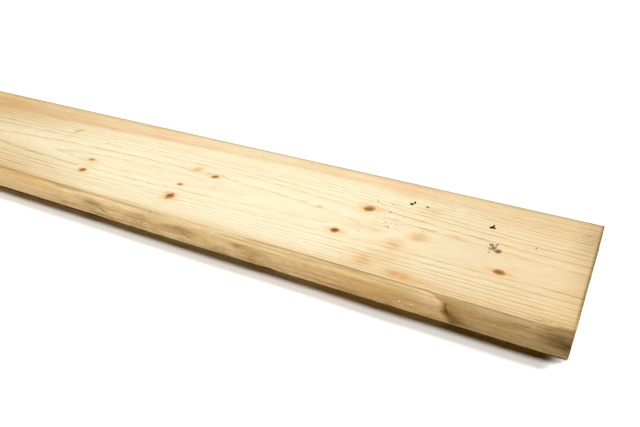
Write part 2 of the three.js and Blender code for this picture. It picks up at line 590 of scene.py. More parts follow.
EDGE_MARKS: Marks = {
    MarkKind.RESIN_STAIN: marks(
        (478, 16.5, 84, 7, 0.1), (128, 10, 44, 12, 0.12), (300, 12, 26, 7, 0.3), (620, 13, 60, 6, 0.35),
    ),
    MarkKind.BROWN_FLECK: marks(
        (398, 8, 19, 1.4, 0.72, 0.32), (412, 11.6, 10, 1.3, 0.5, 0.15), (354, 7.6, 18, 1.3, 0.5, 0.33),
        (349, 12, 12, 1.1, 0.45, 0.1), (307.5, 7.8, 18, 1.5, 0.72, 0.36),
        (297.5, 9.2, 4.6, 1.1, 0.6, 1.3), (346.4, 20.4, 2.6, 1.4, 0.6), (342.4, 20.2, 3, 1.4, 0.6),
        (32, 16.2, 14, 0.9, 0.9), (20, 19, 22, 0.8, 0.8), (77, 2.5, 15, 1.3, 0.5, -0.2),
        (56, 12.5, 7, 0.8, 0.42, 0.3), (53, 11, 6, 0.8, 0.45, -0.25), (49, 13.2, 6, 0.8, 0.42, -0.5),
        (47, 10.4, 5, 0.8, 0.4, 0.4), (317, 11.2, 10, 1.2, 0.45, 0.1), (418, 10, 5, 1.2, 0.4, 0.9),
        (407, 12.5, 6, 1, 0.4, -0.5),
    ),
    MarkKind.PALE_FLECK: marks(
        (118, 6.4, 2.4, 1.4, 1.0), (113.5, 5.6, 1.8, 1.2, 0.9), (121.5, 5, 1.6, 1.4, 0.8),
        (108.5, 6.8, 2.2, 1.2, 0.9),
    ),
    # Grey dirty patches; the one at 77 mm, 5 mm high, is painted shade in the hollow beyond the tongue's
    # nose.
    MarkKind.GREY_DIRT_AND_SHADE: marks(
        (408, 11, 30, 11, 0.36), (358, 11.5, 24, 9, 0.24), (311, 12, 24, 9, 0.32), (243, 5, 14, 9, 0.2),
        (256, 13, 24, 6, 0.2), (415, 12, 12, 5, 0.3), (324, 11.4, 20, 6, 0.25), (238, 10.8, 20, 6, 0.3),
        (9.5, 12.5, 27, 16, 0.82), (15, 7.5, 30, 13, 0.1), (2, 7, 15, 19, 0.6), (36, 15, 22, 4, 0.3),
        (113, 12, 54, 24, 0.22), (77, 5, 18, 11, 0.18), (872, 9, 24, 8, 0.5), (1096, 12, 18, 7, 0.5),
        (256, 12, 9, 4, 0.45),
    ),
    MarkKind.DULL_SPOT: marks(
        (406, 11, 34, 12, 0.8), (355, 11.5, 26, 11, 0.75), (306, 12, 30, 10, 0.45),
        (243, 5, 14, 9, 0.3), (256, 13, 24, 6, 0.3), (140, 10, 110, 40, 0.23), (328, 10, 50, 9, 0.25),
    ),
}


def spread(face: Marks, kind: MarkKind, from_end: Array, place: Array, fall: float = 1.4) -> Array:
    """Add up the soft marks of one kind over a face.

    Args:
        face: The face's marks.
        kind: The kind to add up.
        from_end: Distance from the +X end.
        place: Distance across the top face, or height on the edge.
        fall: How fast a mark fades outwards.

    Returns:
        How strongly the marks show.
    """
    total = np.zeros_like(from_end)
    for mark in face.get(kind, ()):
        total += mark.strength * np.exp(-(mark.off(from_end, place) ** 2) * fall)
    return total


@dataclass(frozen=True)
class Unevenness:
    """Every ripple of the plank, by where it shows, 1.0 long where it hardly changes."""

    top_waves: Relief = Relief(Ripple(11, (240 * MM, 46 * MM, 1.0)), 0.09 * MM)
    top_chatter: Relief = Relief(Ripple(12, (26 * MM, 7 * MM, 1.0)), 0.03 * MM)
    flank_streaks: Relief = Relief(Ripple(21, (70 * MM, 1.0, 7 * MM)), 0.14 * MM, 1.6)
    flank_grain: Relief = Relief(Ripple(22, (16 * MM, 1.0, 3 * MM)), 0.05 * MM)
    flank_lumps: Relief = Relief(Ripple(23, (34 * MM, 1.0, 14 * MM)), 0.12 * MM)
    edge_chatter: Relief = Relief(Ripple(25, (22 * MM, 1.0, 40 * MM)), 0.05 * MM, 1.2)
    foot_roughness: Relief = Relief(Ripple(32, (14 * MM, 9 * MM, 1.0)), 0.02 * MM)
    end_waves: Relief = Relief(Ripple(41, (1.0, 34 * MM, 14 * MM)), 0.1 * MM, 5.6)
    end_chatter: Relief = Relief(Ripple(42, (1.0, 7 * MM, 4 * MM)), 0.05 * MM, 1.5)
    foot_wear: Ripple = Ripple(31, (60 * MM, 1.0, 1.0))
    ring_swirl: Ripple = Ripple(51, (330 * MM, 60 * MM, 60 * MM))
    ring_waver: Ripple = Ripple(52, (110 * MM, 30 * MM, 30 * MM))


UNEVEN = Unevenness()


@dataclass(frozen=True)
class GrownWood:
    """The wood itself: its rings, knots, stains and weathering, with painted light and shade, for the
    finishes to draw on.
    """

    width: float
    thickness: float
    edge: WaneyEdge
    rings: GrowthRings
    ring_swirl: float = 0.09
    ring_waver: float = 0.02
    knot_lean: float = 5 * MM
    knot_root: float = 0.05
    knot_sizes: tuple[float, float] = (0.1, 1.2)
    knot_ring: float = 0.45
    knot_pull: float = 0.8
    knot_bend_reach: float = 1.15
    knot_bend_stretch: float = 1.9
    knot_clear: float = 6.0
    far_away: float = 20.0

    def over(
        self, from_end: Array, across: Array, height: Array, near: Array, top: Array
    ) -> dict[str, Array]:
        """Work out what varies over the wood.

        Args:
            from_end: Each place's distance from the +X end.
            across: Its distance across from the waney edge's saw line.
            height: Its height.
            near: Whether it lies on the waney edge.
            top: Whether it lies on the top face.

        Returns:
            The values, under the names that the finishes read them by.
        """
        radius = self.rings.radius(from_end, across, height)
        ring = self.rings.count(radius)
        ring = ring + self.ring_swirl * UNEVEN.ring_swirl.at(from_end, across, height)
        ring = ring + self.ring_waver * UNEVEN.ring_waver.at(from_end, across, height)
        ring, nearest, tone, local = self.knotted(ring, from_end, across, height)

        on_side = near & ~top
        side = on_side.astype(float)
        # The edge's weathering value also carries a painted highlight on the tongue and painted shade in
        # the hollow; the faces' value carries painted shade towards the ends.
        on_edge = self.edge_weather_and_light(from_end, height)
        on_edge = on_edge + spread(EDGE_MARKS, MarkKind.DULL_SPOT, from_end, height)
        # The crease value paints shade in the crease round the tongue's nose and along the top arris.
        crease = self.nose_crease_shadow(from_end, height) * side
        rise = np.where(near, height, self.far_away)
        over = np.where(top & ~near, across, self.far_away)
        soft = {}
        for kind in (MarkKind.RESIN_STAIN, MarkKind.PEPPERING, MarkKind.GREY_DIRT_AND_SHADE):
            soft[kind.value] = spread(TOP_MARKS, kind, from_end, over)
            soft[kind.value] += spread(EDGE_MARKS, kind, from_end, rise)
        return {
            "ring": ring,
            "ring_width": self.rings.width_at(radius),
            "knot": nearest,
            "knot_tone": tone,
            "knot_place": local,
            "waney_edge": side,
            "heart": self.heart_band(from_end, radius) * (1.0 - side),
            "line": self.ring_strength(from_end, across),
            "weather_and_painted_light": np.where(on_side, on_edge, self.face_weather_and_shade(from_end, across)),
            "crease": np.maximum(crease, self.arris_shadow_line(from_end) * (near & top)),
            **soft,
            "rim": self.darker_rim(from_end, across, near, top),
            "sawn": rising(self.edge.beyond_nose(from_end, height), -3, 3),
            "mottle": self.mottling(from_end),
        }

    def knotted(
        self, ring: Array, from_end: Array, across: Array, height: Array
    ) -> tuple[Array, Array, Array, Array]:
        """Bend the rings round the knots, and measure each place against the knot nearest to it.

        Args:
            ring: The ring count of the clear wood.
            from_end: Distance from the +X end.
            across: Distance across from the waney edge's saw line.
            height: Height above the floor.

        Returns:
            The bent ring count; the distance from the nearest knot's axis, 1 at its side; that knot's
            tone; and the same distance as a vector.
        """
        nearest = np.full_like(ring, self.far_away)
        tone = np.zeros_like(ring)
        local = np.zeros((len(ring), 3))
        for knot in KNOTS:
            off, place, target = self.knot_reach(knot, from_end, across, height)
            bent = np.hypot(place[:, 0] / self.knot_bend_stretch, place[:, 1])
            pull = self.knot_pull * knot.tone * bell(bent, self.knot_bend_reach)
            ring = ring + pull * (target - ring)
            closer = off < nearest
            nearest = np.where(closer, off, nearest)
            tone = np.where(closer, knot.tone, tone)
            local = np.where(closer[:, None], place, local)
        clear = (nearest > self.knot_clear)[:, None]
        local = np.where(clear, [self.far_away, self.far_away, 0.0], local)
        return ring, nearest, tone, local

    def knot_reach(
        self, knot: Knot, from_end: Array, across: Array, height: Array
    ) -> tuple[Array, Array, float]:
        """Measure places against a knot's branch, which widens from the pith to the top face.

        Args:
            knot: The knot.
            from_end: Distance from the +X end.
            across: Distance across from the waney edge's saw line.
            height: Height above the floor.

        Returns:
            Distance from the branch's axis, 1 at its side; the same as a vector; and the ring count
            it holds.
        """
        centre, pith_height = self.rings.pith(np.array([knot.from_end]))
        root = np.array([knot.from_end + self.knot_lean, centre[0], pith_height[0]])
        tip = np.array([knot.from_end, knot.across, self.thickness])
        branch = tip - root
        place = np.column_stack([from_end, across, height])
        along = (place - root) @ branch / (branch @ branch)
        off = place - root - along[:, None] * branch
        size = knot.radius * np.clip(along, *self.knot_sizes)
        local = off / np.column_stack([size * knot.stretch, size, size])
        count = self.rings.count(self.rings.radius(tip[0:1], tip[1:2], tip[2:3]))[0]
        before_root = np.where(along < self.knot_root, self.far_away, 0.0)
        reach = np.linalg.norm(local, axis=1) + before_root
        return reach, local + before_root[:, None], math.floor(count) + self.knot_ring

    def heart_band(self, from_end: Array, radius: Array) -> Array:
        """Return how brown the older wood is, from a darker streak out to the square edge.

        Args:
            from_end: Distance from the +X end.
            radius: Distance from the pith.

        Returns:
            The share of brown.
        """
        inward = 7.5 * MM * rising(from_end, 180, 560)
        streak = 0.30 * rising(from_end, 150, 270)
        streak = streak * (1.0 - 0.45 * rising(from_end, 430, 520))
        streak = streak * bell(radius - 67 * MM + inward, 3.0 * MM)
        outer = 0.35 + 0.65 * rising(from_end, 90, 170)
        outer = outer * rising(radius + inward, 61, 69)
        paler, darker = peak(from_end, 315, 65), peak(from_end, 160, 30)
        outer = outer * (0.56 - 0.27 * paler + 0.12 * darker)
        outer = outer * (1.0 - 0.4 * rising(from_end, 530, 590))
        return streak + outer

    def ring_strength(self, from_end: Array, across: Array) -> Array:
        """Return how clearly the rings show: least over the pith and where the top is painted as washed
        out by light, most by the long edges.

        Args:
            from_end: Distance from the +X end.
            across: Distance across from the waney edge's saw line.

        Returns:
            Their strength.
        """
        out = np.abs(across - self.rings.pith_across)
        plain = falling(out, 4, 22)
        # Fainter rings about 290 mm from the +X end paint the top as washed out by light.
        pale = peak(from_end, 290, 130)
        strength = 0.95 - 0.5 * plain - 0.4 * pale
        near = falling(across, 8, 50)
        return np.clip(strength + 0.3 * near * rising(from_end, 380, 500), 0.12, 1.2)

    def face_weather_and_shade(self, from_end: Array, across: Array) -> Array:
        """Return how much darker the sawn faces are: painted shade towards both ends, a painted highlight
        between, and darkening along the near arris.

        Args:
            from_end: Distance from the +X end.
            across: Distance across from the waney edge's saw line.

        Returns:
            The share of painted shade and darkening, less under the painted highlight.
        """
        # Painted shade where the light falls off towards each end; the bell at 300 mm below is a painted
        # highlight.
        right = 0.62 * falling(from_end, 0, 230)
        right = right + 0.2 * falling(from_end, 0, 25)
        low = 0.42 * peak(from_end, 530, 80) * falling(across, 20, 70)
        arris = 0.22 - 0.08 * rising(from_end, 330, 420)
        arris = arris * falling(across, 3, 26)
        left = 0.8 * rising(from_end, 440, 680)
        left = left * (0.45 + 0.55 * rising(across, 60, 115))
        left = left * (1.0 - 0.4 * rising(across, 125, 145))
        beyond = rising(from_end, 720, 960)
        left = left * (1.0 - beyond * (0.6 + 0.25 * np.sin(from_end / (95 * MM))))
        return right + low + arris + left - 0.09 * peak(from_end, 300, 110)

    def edge_weather_and_light(self, from_end: Array, height: Array) -> Array:
        """Return how weathered the waney edge is: least on the tongue, where a highlight is painted, most
        beyond the hollow, with painted shade in the hollow.

        Args:
            from_end: Distance from the +X end.
            height: Height above the floor.

        Returns:
            The share of weathering and painted shade, negative where a highlight is painted.
        """
        beyond = self.edge.beyond_nose(from_end, height)
        sawn = rising(beyond, -3, 3)
        # A painted highlight on the tongue's rounded nose.
        tongue = peak(from_end, 95, 9) * peak(height, 16.5, 5)
        grown = 0.2 - 0.4 * tongue - 0.12 * peak(from_end, 205, 30)
        pale = rising(from_end, 235, 270) * falling(from_end, 430, 450)
        lower = falling(height, 11, 18)
        grown = grown - pale * (0.3 + 0.5 * lower * rising(from_end, 330, 370))
        grown = grown + 0.22 * rising(from_end, 430, 460) * rising(height, 10, 14)
        bright = rising(from_end, 425, 470) * peak(height, 7, 4.5)
        grown = grown - 0.55 * bright
        # The bell beyond the nose paints shade in the hollow.
        end = 0.3 * falling(from_end, 0, 30) + 0.1 * peak(beyond, 5, 6)
        end = end + 0.22 * rising(height, 9, 13)
        # A painted highlight high on the sawn edge at 54 mm, where its arris rounds over.
        end = end - 0.3 * peak(from_end, 54, 11) * rising(height, 14, 18)
        return grown + (end - grown) * sawn

    def mottling(self, from_end: Array) -> Array:
        """Return how mottled the waney edge is: most about its branch collars.

        Args:
            from_end: Distance from the +X end.

        Returns:
            The mottle's strength.
        """
        collars = rising(from_end, 225, 250) * falling(from_end, 420, 455)
        tongue = peak(from_end, 120, 45)
        return 0.7 + 0.3 * collars - 0.2 * tongue - 0.3 * rising(from_end, 430, 480)

    def nose_crease_shadow(self, from_end: Array, height: Array) -> Array:
        """Return how strongly shade is painted in the crease round the tongue's nose.

        Args:
            from_end: Distance from the +X end.
            height: Height above the floor.

        Returns:
            The line's strength.
        """
        beyond = self.edge.beyond_nose(from_end, height)
        low = 0.04 * rising(height, 1.5, 5)
        return bell(beyond + 0.3 * MM, 1.2 * MM) * (low + 0.28 * rising(height, 14, 19))

    def arris_shadow_line(self, from_end: Array) -> Array:
        """Return how strongly shade is painted in the line where the flank meets the top face.

        Args:
            from_end: Distance from the +X end.

        Returns:
            The line's strength.
        """
        left = rising(from_end, 395, 440)
        right = rising(from_end, 92, 100) * falling(from_end, 230, 265)
        return 0.24 * left + 0.5 * right + 0.05 * rising(from_end, 230, 265)

    def darker_rim(self, from_end: Array, across: Array, near: Array, top: Array) -> Array:
        """Return how much darker the top face's rim is, along the square edge and round the +X end.

        Args:
            from_end: Distance from the +X end.
            across: Distance across from the waney edge's saw line.
            near: Whether the place lies on the waney edge.
            top: Whether it lies on the top face.

        Returns:
            The share of darkening.
        """
        far = 0.28 * bell(self.width - across, 2.2 * MM) + 0.28 * bell(self.width - across, 5 * MM)
        end = peak(from_end, 0.6, 1.3) * (0.5 + 0.45 * rising(across, 8, 30))
        return np.where(top, far, 0.0) + end * (top | near)


@dataclass
class Plank:
    """The plank: a fine lattice box whose surface is drawn out to its sawn and grown shape."""

    length: float
    width: float
    thickness: float
    stations: int = 380
    rows: int = 90
    levels: int = 26
    row_crowding: float = 0.3
    level_crowding: float = 0.44
    samples: int = 6000
    broken_arris: float = 0.8 * MM
    broken_far: float = 0.4 * MM
    broken_foot: float = 0.12 * MM
    broken_end: float = 0.25 * MM
    foot_lift: float = 0.04 * MM
    torn_foot_lift: float = 0.5 * MM
    torn_foot_from: float = 222 * MM
    torn_foot_length: float = 16 * MM
    torn_foot_rise: float = 3 * MM
    left_foot_lift: float = 0.4 * MM
    left_foot_from: float = 385 * MM
    left_foot_rise: float = 30 * MM
    end_foot_lift: float = 0.5 * MM
    end_foot_length: float = 18 * MM
    foot_wear: float = 0.25
    foot_reach: float = 22 * MM
    nose_grip: float = 44 * MM
    nose_grip_share: float = 0.17
    knot_dish: float = 0.22 * MM
    knot_rim: float = 0.1 * MM
    crisp: float = math.radians(40)
    edge: WaneyEdge = field(init=False)
    wood: GrownWood = field(init=False)

    def __post_init__(self) -> None:
        """Fit the edge and the wood to the plank's size."""
        self.edge = WaneyEdge(self.thickness)
        self.wood = GrownWood(self.width, self.thickness, self.edge, GrowthRings(self.thickness))

    def build(self, finishes: list[bpy.types.Material]) -> bpy.types.Object:
        """Make the plank.

        Args:
            finishes: The finish of the sides, then that of the two ends.

        Returns:
            The plank's object.
        """
        mesh = self.lattice()
        share = self.shares(mesh)
        station = np.rint(share[:, 0] * self.stations).astype(int)
        row = np.rint(share[:, 1] * self.rows).astype(int)
        level = np.rint(share[:, 2] * self.levels).astype(int)
        from_end, across, height = self.draw_out(station, row, level)
        grown = self.wood.over(from_end, across, height, row == 0, level == self.levels)
        for name, values in grown.items():
            self.write(mesh, name, values)
        place = np.column_stack([self.length / 2 - from_end, across - self.width / 2, height])
        mesh.vertices.foreach_set("co", place.astype(np.float32).ravel())
        for finish in finishes:
            mesh.materials.append(finish)
        self.part_ends(mesh, (station == 0) | (station == self.stations))
        mesh.update()
        return in_scene("sawn_plank", mesh)

    def lattice(self) -> bpy.types.Mesh:
        """Make the lattice box, one unit each way, with evenly spaced stations, rows and levels.

        Returns:
            The box's mesh.
        """
        side = 1.0
        shape = bmesh.new()
        bmesh.ops.create_cube(shape, size=side)
        for axis, parts in enumerate((self.stations, self.rows, self.levels)):
            along = [
                line
                for line in shape.edges
                if abs(line.verts[0].co[axis] - line.verts[1].co[axis]) > side / 2
            ]
            bmesh.ops.subdivide_edges(shape, edges=along, cuts=parts - 1, use_grid_fill=True)
        mesh = settled("sawn_plank", shape)
        mesh.shade_smooth()
        return mesh

    def shares(self, mesh: bpy.types.Mesh) -> Array:
        """Return each vertex's share of the way along, across and up the lattice box.

        Args:
            mesh: The plank's mesh.

        Returns:
            The three shares, a row for each vertex.
        """
        flat = np.empty(len(mesh.vertices) * 3, dtype=np.float32)
        mesh.vertices.foreach_get("co", flat)
        return flat.reshape(-1, 3).astype(float) + 0.5

    def station_places(self) -> Array:
        """Return each station's distance from the +X end, closest together at the nose and the ends.

        Returns:
            The distances, in their order.
        """
        reach = np.linspace(0.0, self.length, self.samples)
        at_nose = 0.75 * bell(reach - self.edge.nose_from_end, 26 * MM)
        by_tongue = 0.42 * falling(reach, 120, 760)
        at_ends = 0.5 * bell(reach, 14 * MM) + 0.25 * bell(reach - self.length, 8 * MM)
        crowding = 0.075 + at_nose + by_tongue + at_ends
        count = np.concatenate([[0.0], np.cumsum((crowding[1:] + crowding[:-1]) / 2)])
        even = np.linspace(0.0, count[-1], self.stations + 1)
        return np.interp(even, count, reach)

    def crowded(self, parts: int, crowding: float) -> Array:
        """Return shares from 0 to 1 that lie closer together towards both ends.

        Args:
            parts: How many steps they make.
            crowding: How much smaller than an even step the first and last ones are, as a share of it.

        Returns:
            The shares, one more than the steps.
        """
        even = np.linspace(0.0, 1.0, parts + 1)
        return even - crowding * np.sin(2.0 * np.pi * even) / (2.0 * np.pi)

    def draw_out(self, station: Array, row: Array, level: Array) -> tuple[Array, Array, Array]:
        """Work out where the lattice's vertices lie on the wood.

        Args:
            station: Each vertex's station, counted from the -X end.
            row: Its row, counted from the waney edge.
            level: Its level, counted from the lying face.

        Returns:
            Distance from the +X end, distance across from the waney edge's saw line, and height.
        """
        share = self.crowded(self.rows, self.row_crowding)[row]
        height = (self.crowded(self.levels, self.level_crowding) * self.thickness)[level]
        from_end = self.station_places()[self.stations - station]
        grip = 1.0 - smoothstep(np.abs(from_end - self.edge.nose_from_end), 0.0, self.nose_grip)
        grip = grip * (1.0 - smoothstep(share, 0.0, self.nose_grip_share))
        from_end = from_end - grip * self.edge.nose_outline(height)

        near = self.edge.depth(from_end, height) + self.edge_relief(from_end, height)
        near = near + self.round_off(height, self.broken_foot)
        sawn = smoothstep(self.edge.beyond_nose(from_end, height), 0.0, self.edge.hollow_length)
        near = near + self.round_off(self.thickness - height, self.broken_arris) * sawn
        far = self.width - self.round_off(height, self.broken_arris)
        far = far - self.round_off(self.thickness - height, self.broken_far)
        far = far - UNEVEN.edge_chatter.at(from_end, 0.0, height)
        across = near + (far - near) * share

        up = height / self.thickness
        lift = self.foot(from_end, across)
        sink = self.top_relief(from_end, across)
        height = lift + (self.thickness - sink - lift) * up
        end = (station == self.stations).astype(float) - (station == 0)
        rim = (row == 0) | (row == self.rows) | (level == 0) | (level == self.levels)
        from_end = from_end + end * (self.end_relief(across, height) + rim * self.broken_end)
        return from_end, across, height

    def round_off(self, off: Array, reach: float) -> Array:
        """Return how far an arris broken by `reach` cuts in, at distances from the face beside it."""
        return reach - np.sqrt(reach**2 - np.clip(reach - off, 0.0, reach) ** 2)

    def foot(self, from_end: Array, across: Array) -> Array:
        """Return how far the lying face stands clear of the floor, most along the two long edges.

        Args:
            from_end: Distance from the +X end.
            across: Distance across from the waney edge's saw line.

        Returns:
            The gap under it.
        """
        beyond_tear = from_end - self.torn_foot_from
        torn = smoothstep(beyond_tear, 0.0, self.torn_foot_rise)
        torn = torn * (1.0 - smoothstep(beyond_tear, self.torn_foot_rise, self.torn_foot_length))
        left = smoothstep(from_end, self.left_foot_from, self.left_foot_from + self.left_foot_rise)
        near = self.foot_lift + self.torn_foot_lift * torn + self.left_foot_lift * left
        near = near * (1.0 + self.foot_wear * UNEVEN.foot_wear.at(from_end, across, 0.0))
        near = near + self.end_foot_lift * (1.0 - smoothstep(from_end, 0.0, self.end_foot_length))
        near = near * (1.0 - smoothstep(across, 0.0, self.foot_reach))
        far = self.foot_lift * smoothstep(across, self.width - self.foot_reach, self.width)
        rough = UNEVEN.foot_roughness.at(from_end, across, 0.0)
        return np.maximum(near + far + rough, 0.0)

    def top_relief(self, from_end: Array, across: Array) -> Array:
        """Return how far the top face lies under its nominal height: its saw waves and dished knots.

        Args:
            from_end: Distance from the +X end.
            across: Distance across from the waney edge's saw line.

        Returns:
            The depth.
        """
        waves = UNEVEN.top_waves.at(from_end, across, 0.0)
        waves = waves + UNEVEN.top_chatter.at(from_end, across, 0.0)
        dish = 0.0
        for knot in KNOTS:
            along = (from_end - knot.from_end) / knot.stretch
            off = np.hypot(along, across - knot.across) / knot.radius
            dish = dish + self.knot_dish * knot.tone * bell(off, 0.8)
            dish = dish - self.knot_rim * knot.tone * bell(off - 1.4, 0.5)
        return np.maximum(waves + dish, 0.0)

    def edge_relief(self, from_end: Array, height: Array) -> Array:
        """Return the waney edge's own fine unevenness: least at its foot and along its upper part.

        Args:
            from_end: Distance from the +X end.
            height: Height above the floor.

        Returns:
            The depth.
        """
        uneven = UNEVEN.flank_streaks.at(from_end, 0.0, height)
        uneven = uneven + UNEVEN.flank_grain.at(from_end, 0.0, height)
        uneven = uneven + UNEVEN.flank_lumps.at(from_end, 0.0, height)
        foot = 0.2 + 0.8 * rising(height, 0.5, 4)
        upper = 0.65 * rising(height, 12, 18) * rising(from_end, 90, 130)
        return uneven * foot * (1.0 - upper)

    def end_relief(self, across: Array, height: Array) -> Array:
        """Return how rough the crosscut end is."""
        return UNEVEN.end_waves.at(0.0, across, height) + UNEVEN.end_chatter.at(0.0, across, height)

    def write(self, mesh: bpy.types.Mesh, name: str, values: Array) -> None:
        """Write values, or vectors, as an attribute of the mesh's vertices.

        Args:
            mesh: The plank's mesh.
            name: The attribute's name.
            values: A number, or a row of three, for each vertex.
        """
        vector = values.ndim == 2
        layer = mesh.attributes.new(name, "FLOAT_VECTOR" if vector else "FLOAT", "POINT")
        layer.data.foreach_set("vector" if vector else "value", values.astype(np.float32).ravel())

    def part_ends(self, mesh: bpy.types.Mesh, on_end: Array) -> None:
        """Give the two ends their own finish, with a crisp outline.

        Args:
            mesh: The plank's mesh.
            on_end: Whether each vertex lies on an end.
        """
        corners = np.empty(len(mesh.polygons) * 4, dtype=np.int32)
        mesh.polygons.foreach_get("vertices", corners)
        end_faces = on_end[corners.reshape(-1, 4)].all(axis=1)
        mesh.polygons.foreach_set("material_index", end_faces.astype(np.int32))
        shape = bmesh.new()
        shape.from_mesh(mesh)
        for line in shape.edges:
            one_finish = len({face.material_index for face in line.link_faces}) == 1
            line.smooth = one_finish and line.calc_face_angle(0.0) < self.crisp
        shape.to_mesh(mesh)
        shape.free()


@dataclass
class TornFibres:
    """The fibres that the saw left hanging from the waney edge's foot."""

    seed: int = 7
    thickness: float = 0.28 * MM
    long_from: float = 3 * MM
    taper: float = 3.5
    sides: int = 6
    bends: int = 5
    rooted: float = 0.35 * MM
    farthest_out: float = 2.8 * MM
    off_floor: float = 0.1 * MM
    flatness: float = 0.6

    def build(self, finish: bpy.types.Material, plank: Plank) -> bpy.types.Object:
        """Make the fibres.

        Args:
            finish: Their finish.
            plank: The plank that they hang from.

        Returns:
            One object that holds them all.
        """
        draw = np.random.default_rng(self.seed)
        shape = bmesh.new()
        for from_end, length in self.places(draw):
            self.strand(shape, from_end, length, plank, draw)
        for face in shape.faces:
            face.smooth = True
        mesh = settled("torn_fibres", shape)
        mesh.materials.append(finish)
        return in_scene("torn_fibres", mesh)

    def places(self, draw: np.random.Generator) -> list[tuple[float, float]]:
        """Return where each fibre hangs and how long it is: a few long ones and many short.

        Args:
            draw: Where the short ones' places and lengths come from.

        Returns:
            Each one's distance from the +X end, and its length.
        """
        found = in_metres(
            2, (152, 6), (148, 3.5), (129, 7.5), (126, 4), (100, 5), (97, 4.2), (92, 4.6), (25, 4)
        )
        for count, places, lengths in ((90, (6, 640), (0.8, 2.6)), (60, (640, 1790), (0.8, 2.4))):
            for _ in range(count):
                found.append((draw.uniform(*places) * MM, draw.uniform(*lengths) * MM))
        return found

    def strand(
        self,
        shape: bmesh.types.BMesh,
        from_end: float,
        length: float,
        plank: Plank,
        draw: np.random.Generator,
    ) -> None:
        """Add one tapered, curling strand whose root is in the wood.

        Args:
            shape: The mesh that it is added to.
            from_end: Distance of its root from the +X end.
            length: Its length.
            plank: The plank that it hangs from.
            draw: Where its curl comes from.
        """
        before = len(shape.verts)
        root = self.thickness / 2 * max(1.0, length / self.long_from)
        sizes = {"radius1": root, "radius2": root / self.taper, "depth": length}
        bmesh.ops.create_cone(shape, cap_ends=True, segments=self.sides, **sizes)
        shape.verts.ensure_lookup_table()
        lines = {line for vert in shape.verts[before:] for line in vert.link_edges}
        upright = [line for line in lines if abs(line.verts[0].co.z - line.verts[1].co.z) > length / 2]
        for line in lines.difference(upright):
            line.smooth = False
        bmesh.ops.subdivide_edges(shape, edges=upright, cuts=self.bends)
        shape.verts.ensure_lookup_table()
        at = np.array([from_end])
        height = draw.uniform(0.7, 2.2) * MM
        near = float(plank.edge.depth(at, np.array([height]))[0])
        heading = draw.uniform(-1.2, 1.2)
        curl = draw.uniform(-0.9, 0.9)
        droop = draw.uniform(0.1, 0.7)
        for vert in shape.verts[before:]:
            along = vert.co.z + length / 2
            bend = heading + curl * along / length
            out = min(along * 0.6, self.farthest_out) - self.rooted
            x = plank.length / 2 - from_end + math.sin(bend) * along
            y = -plank.width / 2 + near - out
            z = max(height + 0.15 * along - droop * along * along / length, self.off_floor + root)
            aside = vert.co.y * self.flatness
            vert.co = Vector((x + vert.co.x, y - aside, z + aside))


